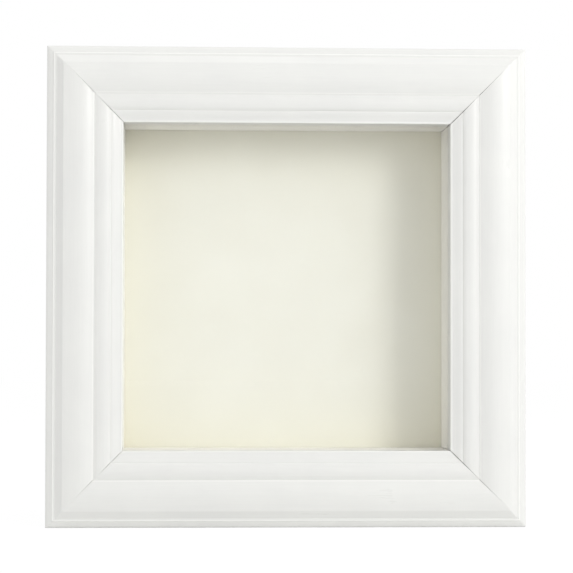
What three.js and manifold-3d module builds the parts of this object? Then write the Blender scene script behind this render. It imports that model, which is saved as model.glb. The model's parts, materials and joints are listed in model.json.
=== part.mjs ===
// Shadow box frame: four mitred mouldings round a pane of glass, with a deep cavity behind the pane.
// Millimetres. +Z is up and the front faces -Y. The frame stands on its bottom edge at Z = 0.
import * as THREE from 'three';
import { mergeVertices } from 'three/addons/utils/BufferGeometryUtils.js';
import Module from 'manifold-3d';

const wasm = await Module();
wasm.setup();

// Window and moulding, across the face from the outer edge to the lip
const windowSize = 190.5;
const mouldingWidth = 44.45;
const edgeBeadWidth = 3.4;
const riserWidth = 0.5;
const filletWidth = 0.8;
const coveWidth = 5.2;
const crownOuterWidth = 9.0;
const grooveWidth = 0.9;
const innerBeadWidth = 8.9;
const innerQuirkWidth = 0.5;
const lipOgeeWidth = 5.5;
const lipFlatWidth = 1.05;

// Heights of the moulding's features in front of the lip's face
const edgeBeadHeight = 0.85;
const edgeBeadDrop = 2.8;
const riserHeight = 0.65;
const filletHeight = 1.3;
const crownHeight = 5.8;
const crownOuterHeight = 3.55;
const crownInnerHeight = 3.3;
const grooveHeight = 3.05;
const innerBeadOuterHeight = 3.15;
const innerBeadInnerHeight = 2.35;
const innerBeadRise = 1.75;
const lipOgeeHeight = 2.2;
const innerQuirkDepth = 0.1;
const lipRound = 0.6;
const backArris = 0.8;
const curveSteps = 10;

// Rabbet and what it holds, in front of the rails' back face
const rabbetWidth = 6.35;
const lipThickness = 13.5;
const glassThickness = 2.0;
const spacerDepth = 31.5;
const displayBoardThickness = 3.0;
const backBoardThickness = 3.0;
const backBoardInset = 0.3;
const boardEdgeRound = 0.4;
const glassArris = 0.3;

// Clearances
const mitreGap = 0.3;
const stackGap = 0.2;
const rabbetClearance = 0.5;
const spacerEndGap = 0.3;
const seatGap = 0.2;
const pilotClearance = 0.3;
const pivotClearance = 0.25;

// V-nails that draw the mitres together, two in each corner
const vNailWing = 6.0;
const vNailThickness = 0.8;
const vNailHeight = 10.0;
const vNailSink = 0.3;
const vNailPlaces = { outer: 12.0, inner: 27.0 };

// Turn buttons and their screws
const buttonSpacing = 112.0;
const buttonPivotInset = 9.0;
const buttonHeadRadius = 6.0;
const buttonTipRadius = 3.2;
const buttonReach = 15.0;
const buttonThickness = 1.0;
const buttonLift = 1.0;
const buttonLiftLength = 6.5;
const screwShankRadius = 1.3;
const screwLength = 11.0;
const screwPointLength = 3.0;
const screwHeadRadius = 2.9;
const screwHeadHeight = 1.6;
const screwSlotWidth = 0.8;
const screwSlotDepth = 0.8;

// Sawtooth hanger and its nails
const hangerLength = 46.0;
const hangerWidth = 11.0;
const hangerThickness = 1.0;
const hangerTabLength = 8.5;
const hangerRampLength = 2.5;
const hangerStandoff = 1.8;
const hangerCornerRadius = 2.5;
const hangerInset = 18.0;
const toothCount = 10;
const toothPitch = 2.2;
const toothDepth = 1.9;
const nailInset = 4.2;
const nailShankRadius = 0.7;
const nailLength = 11.0;
const nailPointLength = 2.0;
const nailHeadRadius = 1.7;
const nailHeadHeight = 0.6;

// Rubber bumpers at the lower corners of the back
const bumperRadius = 5.0;
const bumperFlatRadius = 2.6;
const bumperHeight = 3.5;
const bumperSideInset = 30.0;
const bumperBottomInset = 14.0;

const roundSteps = 28;

// Sizes that follow from the ones above
const outerSize = windowSize + 2 * mouldingWidth;
const halfOuter = outerSize / 2;
const rabbetSide = mouldingWidth - rabbetWidth;
const panelSize = windowSize + 2 * (rabbetWidth - rabbetClearance);
const spacerThickness = rabbetWidth - rabbetClearance;
const backBoardFront = backBoardInset + backBoardThickness;
const displayBoardBack = backBoardFront + stackGap;
const spacerBack = displayBoardBack + displayBoardThickness + stackGap;
const glassBack = spacerBack + spacerDepth + stackGap;
const rabbetFloor = glassBack + glassThickness + stackGap;
const lipFace = rabbetFloor + lipThickness;
const buttonPivot = rabbetSide - buttonPivotInset;
const screwHeadSeat = 2 * seatGap + buttonThickness;
const nailHeadSeat = 2 * seatGap + hangerThickness;
const rearReach = Math.max(
  seatGap + bumperHeight,
  screwHeadSeat + screwHeadHeight,
  seatGap + hangerStandoff + hangerThickness,
  nailHeadSeat + nailHeadHeight,
);
const overallDepth = lipFace + crownHeight + rearReach;
const backFaceY = overallDepth / 2 - rearReach;

// Each side is made as the bottom one and turned about the window's centre.
const sideTurns = { bottom: 0, left: Math.PI / 2, top: Math.PI, right: -Math.PI / 2 };
const cornerTurns = {
  bottom_left: 0,
  top_left: Math.PI / 2,
  top_right: Math.PI,
  bottom_right: -Math.PI / 2,
};

function finish(color, roughness, metalness = 0) {
  return () => new THREE.MeshStandardMaterial({ color, roughness, metalness });
}

const finishes = {
  whitePaint: finish('#eeeeea', 0.42),
  spacerPaint: finish('#ecebe4', 0.6),
  creamBoard: finish('#ece9d8', 0.9),
  hardboard: finish('#8a6242', 0.8),
  zinc: finish('#b9bcc0', 0.35, 0.9),
  rubber: finish('#d9d9d4', 0.7),
};

function clearGlass() {
  const glass = finish('#e8f2ee', 0.03)();
  glass.transparent = true;
  glass.opacity = 0.25;
  return glass;
}

function solidOf(geometry) {
  const bare = geometry.clone();
  bare.deleteAttribute('normal');
  bare.deleteAttribute('uv');
  const welded = mergeVertices(bare);
  const corners = welded.index.array;
  const triangles = [];
  for (let i = 0; i < corners.length; i += 3) {
    const [a, b, c] = corners.slice(i, i + 3);
    if (a !== b && b !== c && c !== a) triangles.push(a, b, c);
  }
  return new wasm.Manifold(new wasm.Mesh({
    numProp: 3,
    vertProperties: new Float32Array(welded.attributes.position.array),
    triVerts: new Uint32Array(triangles),
  }));
}

function geometryOf(solid) {
  const mesh = solid.getMesh();
  const geometry = new THREE.BufferGeometry();
  geometry.setAttribute('position', new THREE.BufferAttribute(mesh.vertProperties, 3));
  geometry.setIndex(new THREE.BufferAttribute(mesh.triVerts, 1));
  geometry.computeVertexNormals();
  return geometry;
}

function cut(geometry, cutters) {
  let solid = solidOf(geometry);
  for (const cutter of cutters) solid = solid.subtract(solidOf(cutter));
  return geometryOf(solid);
}

function piece(name, geometry, material, position = [0, 0, 0], turn = 0) {
  const mesh = new THREE.Mesh(geometry, material());
  mesh.name = name;
  mesh.position.set(...position);
  mesh.rotation.y = turn;
  return mesh;
}

// A slab across X and Z, with its edges eased, from back to front of the stack.
function slab(width, height, depth, ease) {
  const outline = new THREE.Shape();
  const [x, z] = [width / 2 - ease, height / 2 - ease];
  outline.moveTo(-x, -z).lineTo(x, -z).lineTo(x, z).lineTo(-x, z).closePath();
  const geometry = new THREE.ExtrudeGeometry(outline, {
    depth: depth - 2 * ease,
    bevelThickness: ease,
    bevelSize: ease,
    bevelSegments: 2,
  });
  return geometry.translate(0, 0, ease).rotateX(Math.PI / 2);
}

// The moulding's section: x runs inwards from the outer face, y forwards from the back face.
// The outer features are counted from the outer edge, and the lip's from the lip. The crown is two
// parabolas that meet at its peak, and the cove climbs from the fillet to the crown's arris.
function mouldingSection() {
  const lipFlatEnd = mouldingWidth - lipFlatWidth;
  const lipOgeeEnd = lipFlatEnd - lipOgeeWidth;
  const beadInner = lipOgeeEnd - innerQuirkWidth;
  const beadOuter = beadInner - innerBeadWidth;
  const crownInner = beadOuter - grooveWidth;
  const filletOuter = edgeBeadWidth + riserWidth;
  const filletInner = filletOuter + filletWidth;
  const crownOuter = filletInner + coveWidth;
  const crownPeak = crownOuter + crownOuterWidth;
  const filletTop = lipFace + filletHeight;
  const riserFoot = filletTop - riserHeight;
  const edgeBeadTop = lipFace + edgeBeadHeight;
  const edgeBeadFoot = edgeBeadTop - edgeBeadDrop;
  const crownTop = lipFace + crownHeight;
  const crownFoot = lipFace + crownOuterHeight;
  const section = new THREE.Shape();

  section.moveTo(rabbetSide, 0);
  section.lineTo(rabbetSide, rabbetFloor);
  section.lineTo(mouldingWidth, rabbetFloor);
  section.lineTo(mouldingWidth, lipFace - lipRound);
  section.quadraticCurveTo(mouldingWidth, lipFace, mouldingWidth - lipRound, lipFace);
  section.lineTo(lipFlatEnd, lipFace);
  section.bezierCurveTo(
    lipFlatEnd - lipOgeeWidth * 0.2, lipFace,
    lipFlatEnd - lipOgeeWidth * 0.6, lipFace + lipOgeeHeight * 0.9,
    lipOgeeEnd, lipFace + lipOgeeHeight,
  );
  section.lineTo(lipOgeeEnd - innerQuirkWidth / 2, lipFace + lipOgeeHeight - innerQuirkDepth);
  section.lineTo(beadInner, lipFace + innerBeadInnerHeight);
  section.bezierCurveTo(
    beadInner - innerBeadWidth * 0.15, lipFace + innerBeadInnerHeight + innerBeadRise,
    beadOuter + innerBeadWidth * 0.34, lipFace + innerBeadOuterHeight + innerBeadRise,
    beadOuter, lipFace + innerBeadOuterHeight,
  );
  section.lineTo(beadOuter - grooveWidth / 3, lipFace + grooveHeight);
  section.lineTo(crownInner, lipFace + grooveHeight);
  section.lineTo(crownInner, lipFace + crownInnerHeight);
  section.quadraticCurveTo((crownInner + crownPeak) / 2, crownTop, crownPeak, crownTop);
  section.quadraticCurveTo((crownPeak + crownOuter) / 2, crownTop, crownOuter, crownFoot);
  section.quadraticCurveTo(
    crownOuter - coveWidth * 0.36, filletTop + (crownFoot - filletTop) * 0.4,
    filletInner, filletTop,
  );
  section.lineTo(filletOuter, filletTop);
  section.lineTo(edgeBeadWidth + riserWidth / 4, riserFoot);
  section.lineTo(edgeBeadWidth, riserFoot);
  section.lineTo(edgeBeadWidth, edgeBeadTop);
  section.bezierCurveTo(
    edgeBeadWidth / 2, edgeBeadTop - edgeBeadDrop / 12,
    0, edgeBeadTop - edgeBeadDrop / 2,
    0, edgeBeadFoot,
  );
  section.lineTo(0, backArris);
  section.lineTo(backArris, 0);
  section.closePath();
  return section;
}

// A rail lies along X on its outer face, with its back face at Y = 0 and its mitres at 45 degrees.
function railBody() {
  const geometry = new THREE.ExtrudeGeometry(mouldingSection(), {
    depth: outerSize,
    bevelEnabled: false,
    curveSegments: curveSteps,
  });
  const place = geometry.attributes.position;
  const endGap = mitreGap / Math.SQRT2;
  for (let i = 0; i < place.count; i += 1) {
    const setback = place.getX(i) + endGap;
    const along = place.getZ(i) > halfOuter ? halfOuter - setback : setback - halfOuter;
    place.setXYZ(i, along, -place.getY(i), place.getX(i));
  }
  return geometry;
}

// A slot for one wing of a V-nail, cut in from the mitre.
function vNailSlot(place, end) {
  const length = vNailWing + vNailThickness + 2 * pilotClearance;
  const width = vNailThickness + 2 * pilotClearance;
  const depth = vNailSink + vNailHeight + pilotClearance;
  const slot = new THREE.BoxGeometry(length, 2 * depth, width);
  const nailEnd = halfOuter - place - vNailWing - pilotClearance;
  return slot.translate(end * (nailEnd + length / 2), 0, place);
}

function vNailSlots() {
  return Object.values(vNailPlaces).flatMap((place) => [vNailSlot(place, -1), vNailSlot(place, 1)]);
}

function pilotHole(radius, depth, x, z) {
  const hole = new THREE.CylinderGeometry(radius, radius, 2 * depth, roundSteps);
  return hole.translate(x, 0, z);
}

function buttonPilots() {
  const radius = screwShankRadius + pilotClearance;
  const depth = screwLength - screwHeadSeat + pilotClearance;
  return [-1, 1].map((side) => pilotHole(radius, depth, side * buttonSpacing / 2, buttonPivot));
}

function hangerPilots() {
  const radius = nailShankRadius + pilotClearance;
  const depth = nailLength - nailHeadSeat + pilotClearance;
  const reach = hangerLength / 2 - nailInset;
  return [-1, 1].map((side) => pilotHole(radius, depth, side * reach, hangerInset));
}

// Two wings at a right angle, driven in from the back across a mitre.
function vNail() {
  const half = vNailThickness / 2;
  const outline = new THREE.Shape();
  outline.moveTo(-half, -half).lineTo(vNailWing, -half).lineTo(vNailWing, half);
  outline.lineTo(half, half).lineTo(half, vNailWing).lineTo(-half, vNailWing).closePath();
  const geometry = new THREE.ExtrudeGeometry(outline, { depth: vNailHeight, bevelEnabled: false });
  return geometry.rotateX(Math.PI / 2);
}

// A lathe profile of a fastener: point forwards, shank, then a domed head behind its seat.
function fastener(shankRadius, length, pointLength, headRadius, headHeight) {
  const dome = new THREE.EllipseCurve(0, 0, headRadius, headHeight, 0, Math.PI / 2);
  const profile = [
    new THREE.Vector2(0, -length),
    new THREE.Vector2(shankRadius, pointLength - length),
    new THREE.Vector2(shankRadius, 0),
    ...dome.getPoints(6),
  ];
  profile[profile.length - 1].x = 0;
  return new THREE.LatheGeometry(profile, roundSteps);
}

function turnScrew() {
  const body = fastener(
    screwShankRadius, screwLength, screwPointLength, screwHeadRadius, screwHeadHeight,
  );
  const slot = new THREE.BoxGeometry(2.2 * screwHeadRadius, 2 * screwSlotDepth, screwSlotWidth);
  return cut(body, [slot.translate(0, screwHeadHeight, 0)]);
}

// Outline of a turn button, round at its pivot and tapering to a round tip on the +X side.
function buttonOutline() {
  const tangent = Math.acos((buttonHeadRadius - buttonTipRadius) / buttonReach);
  const outline = new THREE.Shape();
  outline.absarc(0, 0, buttonHeadRadius, tangent, 2 * Math.PI - tangent, false);
  outline.absarc(buttonReach, 0, buttonTipRadius, -tangent, tangent, false);
  outline.closePath();
  return outline;
}

// The plate is flat on the rail and lifts at its tip, so that it rides up over the board.
function turnButton() {
  const tipEnd = buttonReach + buttonTipRadius;
  const liftStart = tipEnd - buttonLiftLength;
  const margin = 1;
  const side = new THREE.Shape();
  side.moveTo(-buttonHeadRadius - margin, 0).lineTo(liftStart, 0).lineTo(tipEnd, buttonLift);
  side.lineTo(tipEnd + margin, buttonLift).lineTo(tipEnd + margin, buttonLift + buttonThickness);
  side.lineTo(tipEnd, buttonLift + buttonThickness).lineTo(liftStart, buttonThickness);
  side.lineTo(-buttonHeadRadius - margin, buttonThickness).closePath();
  const width = 2 * (buttonHeadRadius + margin);
  const bent = new THREE.ExtrudeGeometry(side, { depth: width, bevelEnabled: false });
  const plan = new THREE.ExtrudeGeometry(buttonOutline(), {
    depth: 4 * (buttonLift + buttonThickness),
    bevelEnabled: false,
    curveSegments: roundSteps,
  });
  bent.translate(0, 0, -width / 2);
  plan.rotateX(Math.PI / 2).translate(0, 2 * (buttonLift + buttonThickness), 0);
  const blank = geometryOf(solidOf(bent).intersect(solidOf(plan)));
  const holeRadius = screwShankRadius + pivotClearance;
  return cut(blank, [pilotHole(holeRadius, 2 * buttonThickness, 0, 0)]);
}

// The hanger's front view: rounded tabs, and teeth along the lower edge of the raised middle.
function hangerOutline() {
  const [x, z, r] = [hangerLength / 2, hangerWidth / 2, hangerCornerRadius];
  const firstTooth = -toothCount * toothPitch / 2;
  const outline = new THREE.Shape();
  outline.moveTo(-x + r, -z);
  for (let tooth = 0; tooth < toothCount; tooth += 1) {
    const start = firstTooth + tooth * toothPitch;
    outline.lineTo(start, -z).lineTo(start + toothPitch / 2, -z + toothDepth);
  }
  outline.lineTo(-firstTooth, -z).lineTo(x - r, -z);
  outline.absarc(x - r, -z + r, r, -Math.PI / 2, 0, false);
  outline.absarc(x - r, z - r, r, 0, Math.PI / 2, false);
  outline.absarc(-x + r, z - r, r, Math.PI / 2, Math.PI, false);
  outline.absarc(-x + r, -z + r, r, Math.PI, 1.5 * Math.PI, false);
  return outline;
}

// The hanger's strip seen from above: flat tabs, ramps, and a middle that stands off the rail.
function hangerStrip() {
  const end = hangerLength / 2 + 1;
  const ramp = hangerLength / 2 - hangerTabLength;
  const raised = ramp - hangerRampLength;
  const strip = new THREE.Shape();
  strip.moveTo(-end, 0).lineTo(-ramp, 0).lineTo(-raised, hangerStandoff);
  strip.lineTo(raised, hangerStandoff).lineTo(ramp, 0).lineTo(end, 0);
  strip.lineTo(end, hangerThickness).lineTo(ramp, hangerThickness);
  strip.lineTo(raised, hangerStandoff + hangerThickness);
  strip.lineTo(-raised, hangerStandoff + hangerThickness);
  strip.lineTo(-ramp, hangerThickness).lineTo(-end, hangerThickness).closePath();
  return strip;
}

function sawtoothHanger() {
  const depth = 4 * (hangerStandoff + hangerThickness);
  const height = hangerWidth + 2;
  const front = new THREE.ExtrudeGeometry(hangerOutline(), {
    depth,
    bevelEnabled: false,
    curveSegments: 6,
  });
  const strip = new THREE.ExtrudeGeometry(hangerStrip(), { depth: height, bevelEnabled: false });
  front.rotateX(Math.PI / 2).translate(0, depth / 2, 0);
  strip.translate(0, 0, -height / 2);
  const blank = geometryOf(solidOf(front).intersect(solidOf(strip)));
  const reach = hangerLength / 2 - nailInset;
  const radius = nailShankRadius + pivotClearance;
  return cut(blank, [-1, 1].map((side) => pilotHole(radius, depth, side * reach, 0)));
}

function bumper() {
  const shoulder = new THREE.EllipseCurve(
    bumperFlatRadius, 0, bumperRadius - bumperFlatRadius, bumperHeight, 0, Math.PI / 2,
  );
  const profile = [new THREE.Vector2(0, 0), ...shoulder.getPoints(8)];
  profile.push(new THREE.Vector2(0, bumperHeight));
  return new THREE.LatheGeometry(profile, roundSteps);
}

function sideGroup(side) {
  const group = new THREE.Group();
  group.rotation.y = sideTurns[side];
  return group;
}

function addRails(assembly) {
  const plainRail = cut(railBody(), vNailSlots());
  const buttonRail = cut(plainRail, buttonPilots());
  const hangerRail = cut(plainRail, hangerPilots());
  const rails = { bottom: plainRail, left: buttonRail, top: hangerRail, right: buttonRail };
  for (const [side, geometry] of Object.entries(rails)) {
    const group = sideGroup(side);
    group.add(piece(`${side}_rail`, geometry, finishes.whitePaint, [0, 0, -halfOuter]));
    assembly.add(group);
  }
}

function addVNails(assembly) {
  for (const [corner, turn] of Object.entries(cornerTurns)) {
    const group = new THREE.Group();
    group.rotation.y = turn;
    for (const [name, place] of Object.entries(vNailPlaces)) {
      const reach = place - halfOuter;
      group.add(piece(`v_nail_${corner}_${name}`, vNail(), finishes.zinc, [reach, -vNailSink, reach]));
    }
    assembly.add(group);
  }
}

function addSpacers(assembly) {
  const shortLength = panelSize - 2 * (spacerThickness + spacerEndGap);
  const lengths = { bottom: panelSize, left: shortLength, top: panelSize, right: shortLength };
  for (const [side, length] of Object.entries(lengths)) {
    const strip = new THREE.BoxGeometry(length, spacerDepth, spacerThickness);
    const place = [0, -spacerBack - spacerDepth / 2, (spacerThickness - panelSize) / 2];
    const group = sideGroup(side);
    group.add(piece(`spacer_${side}`, strip, finishes.spacerPaint, place));
    assembly.add(group);
  }
}

function addPanels(assembly) {
  const glass = slab(panelSize, panelSize, glassThickness, glassArris);
  const display = slab(panelSize, panelSize, displayBoardThickness, boardEdgeRound);
  const back = slab(panelSize, panelSize, backBoardThickness, boardEdgeRound);
  assembly.add(piece('glass_pane', glass, clearGlass, [0, -glassBack, 0]));
  assembly.add(piece('display_board', display, finishes.creamBoard, [0, -displayBoardBack, 0]));
  assembly.add(piece('back_board', back, finishes.hardboard, [0, -backBoardInset, 0]));
}

function addTurnButtons(assembly) {
  const places = { left_upper: -1, left_lower: 1, right_upper: 1, right_lower: -1 };
  for (const [name, along] of Object.entries(places)) {
    const group = sideGroup(name.split('_')[0]);
    const [x, z] = [along * buttonSpacing / 2, buttonPivot - halfOuter];
    const open = along > 0 ? 0 : Math.PI;
    group.add(piece(`turn_button_${name}`, turnButton(), finishes.zinc, [x, seatGap, z], open));
    group.add(piece(`turn_screw_${name}`, turnScrew(), finishes.zinc, [x, screwHeadSeat, z], open));
    assembly.add(group);
  }
}

function addHanger(assembly) {
  const z = halfOuter - hangerInset;
  const reach = hangerLength / 2 - nailInset;
  const nail = fastener(nailShankRadius, nailLength, nailPointLength, nailHeadRadius, nailHeadHeight);
  assembly.add(piece('sawtooth_hanger', sawtoothHanger(), finishes.zinc, [0, seatGap, z]));
  assembly.add(piece('hanger_nail_left', nail, finishes.zinc, [-reach, nailHeadSeat, z]));
  assembly.add(piece('hanger_nail_right', nail.clone(), finishes.zinc, [reach, nailHeadSeat, z]));
}

function addBumpers(assembly) {
  const x = halfOuter - bumperSideInset;
  const z = bumperBottomInset - halfOuter;
  assembly.add(piece('bumper_left', bumper(), finishes.rubber, [-x, seatGap, z]));
  assembly.add(piece('bumper_right', bumper(), finishes.rubber, [x, seatGap, z]));
}

// The assembly's own origin is the window's centre, on the rails' back face.
const assembly = new THREE.Group();
assembly.position.set(0, backFaceY, halfOuter);
addRails(assembly);
addVNails(assembly);
addSpacers(assembly);
addPanels(assembly);
addTurnButtons(assembly);
addHanger(assembly);
addBumpers(assembly);

const frame = new THREE.Group();
frame.add(assembly);

export default frame;
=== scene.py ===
# A square shadow box frame: white mitred mouldings round a glazed cavity with a cream board at its back.
# The scene is in metres. The pieces' settings and points are in millimetres until they are meshes.
import json
import math

import bmesh
import bpy
import numpy as np
from mathutils import Matrix, Vector


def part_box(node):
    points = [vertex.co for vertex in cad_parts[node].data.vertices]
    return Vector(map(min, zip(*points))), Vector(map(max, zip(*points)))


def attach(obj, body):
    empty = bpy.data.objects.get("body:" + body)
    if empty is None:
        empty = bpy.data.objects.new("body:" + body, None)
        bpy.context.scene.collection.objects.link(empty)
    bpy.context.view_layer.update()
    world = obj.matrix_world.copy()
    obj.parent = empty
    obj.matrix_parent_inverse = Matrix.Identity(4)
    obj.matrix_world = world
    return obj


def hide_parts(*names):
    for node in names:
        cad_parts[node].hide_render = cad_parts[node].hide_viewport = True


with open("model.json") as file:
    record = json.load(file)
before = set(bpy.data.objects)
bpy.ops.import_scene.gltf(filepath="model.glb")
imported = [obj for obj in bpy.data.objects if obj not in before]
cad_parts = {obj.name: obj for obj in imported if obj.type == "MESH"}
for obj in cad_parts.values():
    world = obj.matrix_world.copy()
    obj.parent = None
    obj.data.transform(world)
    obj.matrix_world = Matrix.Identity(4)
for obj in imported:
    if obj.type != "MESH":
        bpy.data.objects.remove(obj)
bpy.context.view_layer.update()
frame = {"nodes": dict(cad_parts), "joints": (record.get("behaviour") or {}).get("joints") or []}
scene = bpy.context.scene
mm = 0.001  # a millimetre in metres


def boxOf(node):
    low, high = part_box(node)
    return np.array(low) / mm, np.array(high) / mm


halfOuter = -boxOf("left_rail")[0][0]  # from the window's centre to the outer faces
mouldingWidth = boxOf("left_rail")[1][0] + halfOuter
backFace = boxOf("left_rail")[1][1]  # the rails' flat back
mouldingDepth = backFace - boxOf("left_rail")[0][1]
windowHalf = halfOuter - mouldingWidth
print("frame loaded:", len(frame["nodes"]), "nodes")


# Meshes

weldReach = 1e-7  # points nearer than this, in metres, become one
flatSides = 8  # a face with this many corners or more is a flat end


def gridFaces(rows, columns, closeRows=False, closeColumns=False):
    # Quads between neighbouring rows and columns of a grid of points, all at once.
    row, column = np.meshgrid(
        np.arange(rows - (not closeRows)), np.arange(columns - (not closeColumns)), indexing="ij")
    nextRow, nextColumn = (row + 1) % rows, (column + 1) % columns
    corners = [row * columns + column, row * columns + nextColumn,
               nextRow * columns + nextColumn, nextRow * columns + column]
    return np.stack(corners, axis=-1).reshape(-1, 4)


def makeMesh(name, points, quads, caps=(), sharpAngle=38, arris=None):
    # Points in millimetres. Caps are flat ends, and edges that turn by more than sharpAngle stay crisp.
    # The arris attribute says how sharply the surface turns at each point: outwards where it is over 0,
    # and inwards where it is under 0.
    mesh = bpy.data.meshes.new(name)
    faces = quads.tolist() + [list(cap) for cap in caps]
    mesh.from_pydata((points.reshape(-1, 3) * mm).tolist(), [], faces)
    if arris is not None:
        turns = mesh.attributes.new("arris", "FLOAT", "POINT")
        turns.data.foreach_set("value", arris.astype(np.float32).ravel())
    work = bmesh.new()
    work.from_mesh(mesh)
    bmesh.ops.remove_doubles(work, verts=work.verts, dist=weldReach)
    bmesh.ops.recalc_face_normals(work, faces=work.faces)
    work.to_mesh(mesh)
    work.free()
    crisp(mesh, sharpAngle)
    return mesh


def crisp(mesh, sharpAngle):
    # Smooth faces with sharp edges by angle, and flat ends.
    mesh.set_sharp_from_angle(angle=math.radians(sharpAngle))
    corners = np.empty(len(mesh.polygons), dtype=np.int32)
    mesh.polygons.foreach_get("loop_total", corners)
    mesh.polygons.foreach_set("use_smooth", corners < flatSides)
    mesh.update()


def addPiece(name, mesh, material, body, nodes):
    # One visible piece: it rides on a body and stands for the CAD nodes of the same part.
    piece = bpy.data.objects.new(name, mesh)
    scene.collection.objects.link(piece)
    mesh.materials.clear()
    mesh.materials.append(material)
    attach(piece, body)
    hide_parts(*nodes)
    return piece


def cutAway(mesh, cutters, sharpAngle=38):
    # A new mesh: the given one with closed cutter meshes taken out of it.
    body = bpy.data.objects.new("body", mesh)
    scene.collection.objects.link(body)
    for cutter in cutters:
        blade = bpy.data.objects.new("cutter", cutter)
        scene.collection.objects.link(blade)
        cut = body.modifiers.new("cut", "BOOLEAN")
        cut.operation = "DIFFERENCE"
        cut.solver = "EXACT"
        cut.object = blade
    bpy.context.view_layer.update()
    done = bpy.data.meshes.new_from_object(body.evaluated_get(bpy.context.evaluated_depsgraph_get()))
    done.name = mesh.name
    for cut in list(body.modifiers):
        bpy.data.objects.remove(cut.object)
    bpy.data.objects.remove(body)
    crisp(done, sharpAngle)
    return done


def bezier(*controls, steps=22):
    # Each point is the mean of the controls, weighed by the Bernstein shares. Three controls give a
    # parabola, and four give a cubic.
    t = np.linspace(0, 1, steps)[:, None]
    last = len(controls) - 1
    shares = [math.comb(last, k) * (1 - t) ** (last - k) * t ** k for k in range(last + 1)]
    return sum(share * np.array(control, dtype=float) for share, control in zip(shares, controls))


def arc(centre, radius, start, end, steps=12):
    # Points on a circle from one angle to another, in degrees.
    angle = np.radians(np.linspace(start, end, steps))
    return np.stack([centre[0] + radius * np.cos(angle), centre[1] + radius * np.sin(angle)], axis=-1)


def smoothStep(share):
    # From nought to one along a cubic with level ends.
    share = np.clip(share, 0, 1)
    return share ** 2 * (3 - 2 * share)


def outwardNormals(outline):
    # The outline's tangent turned by a quarter, for an outline that runs anticlockwise.
    tangent = np.roll(outline, -1, axis=0) - np.roll(outline, 1, axis=0)
    tangent /= np.maximum(np.linalg.norm(tangent, axis=1, keepdims=True), 1e-9)
    return np.stack([tangent[:, 1], -tangent[:, 0]], axis=-1)


def anticlockwise(outline):
    # By the sign of the outline's area.
    x, y = outline.T
    area = np.sum(x * np.roll(y, -1) - y * np.roll(x, -1))
    return outline if area > 0 else outline[::-1]


def measured(outline):
    # A closed outline, with its first point again at its end, and the distance run up to each point.
    closed = np.concatenate([outline, outline[:1]])
    steps = np.linalg.norm(np.diff(closed, axis=0), axis=1)
    return closed, np.concatenate([[0], np.cumsum(steps)])


def between(points, marks, places):
    # Points on the lines between given ones, at places that the marks count.
    return np.stack([np.interp(places, marks, points[:, k]) for k in (0, 1)], axis=-1)


def roundedRectangle(low, high, radius, steps=5):
    # Four quarter circles joined by straight sides, in the box from low to high.
    centres = [(high[0] - radius, high[1] - radius), (low[0] + radius, high[1] - radius),
               (low[0] + radius, low[1] + radius), (high[0] - radius, low[1] + radius)]
    return np.concatenate([arc(centre, radius, start, start + 90, steps)
                           for centre, start in zip(centres, (0, 90, 180, 270))])


def prismFaces(rows, columns):
    ends = [range(columns), range((rows - 1) * columns, rows * columns)]
    return gridFaces(rows, columns, closeColumns=True), ends


def prismMesh(name, outline, front, depth, edge, steps=4):
    # An outline in X and Z, carried along Y from the front through a depth and drawn in along a
    # quarter circle at both ends.
    turn = np.radians(np.linspace(0, 90, steps))
    drawnIn, rise = edge * (1 - np.sin(turn)), edge * (1 - np.cos(turn))
    inset = np.concatenate([drawnIn, drawnIn[::-1]])
    place = front + np.concatenate([rise, depth - rise[::-1]])
    flat = outline[None] - outwardNormals(outline)[None] * inset[:, None, None]
    along = np.broadcast_to(place[:, None], flat.shape[:2])
    points = np.stack([flat[..., 0], along, flat[..., 1]], axis=-1)
    return makeMesh(name, points, *prismFaces(*along.shape), sharpAngle=50)


def turnedMesh(name, radius, height, base, steps):
    # A profile turned about an axis along Y through the base point. Each row goes round at its own
    # height, with one radius, or with a radius for each angle.
    angle = np.linspace(0, 2 * math.pi, steps, endpoint=False)
    radius = radius.reshape(len(height), -1)
    across, up = radius * np.cos(angle), radius * np.sin(angle)
    along = np.broadcast_to(height[:, None], across.shape)
    points = np.stack([base[0] + across, base[1] + along, base[2] + up], axis=-1)
    return makeMesh(name, points, *prismFaces(*across.shape))


# Materials

def newMaterial(name):
    # A material, its node tree, and the Object coordinates that its patterns follow.
    material = bpy.data.materials.new(name)
    material.use_nodes = True
    tree = material.node_tree
    tree.nodes.clear()
    return material, tree, nodeIn(tree, "ShaderNodeTexCoord").outputs["Object"]


def nodeIn(tree, kind, inputs=None, **settings):
    node = tree.nodes.new(kind)
    for key, value in settings.items():
        setattr(node, key, value)
    for key, value in (inputs or {}).items():
        if isinstance(value, bpy.types.NodeSocket):
            tree.links.new(value, node.inputs[key])
        else:
            node.inputs[key].default_value = value
    return node


def effectGroup(name, inputs, outputs):
    # An empty shader node group with its sockets, and the nodes that stand for them inside.
    tree = bpy.data.node_groups.new(name, "ShaderNodeTree")
    for direction, sockets in (("INPUT", inputs), ("OUTPUT", outputs)):
        for label, kind in sockets.items():
            tree.interface.new_socket(label, in_out=direction, socket_type="NodeSocket" + kind)
    return tree, tree.nodes.new("NodeGroupInput"), tree.nodes.new("NodeGroupOutput")


def mixColours(tree, share, first, second):
    return nodeIn(tree, "ShaderNodeMix", {0: share, 6: first, 7: second}, data_type="RGBA").outputs[2]


def mixValues(tree, share, first, second):
    return nodeIn(tree, "ShaderNodeMix", {0: share, 2: first, 3: second}).outputs[0]


def computed(tree, operation, first, second=0.0):
    return nodeIn(tree, "ShaderNodeMath", {0: first, 1: second}, operation=operation).outputs[0]


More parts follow.
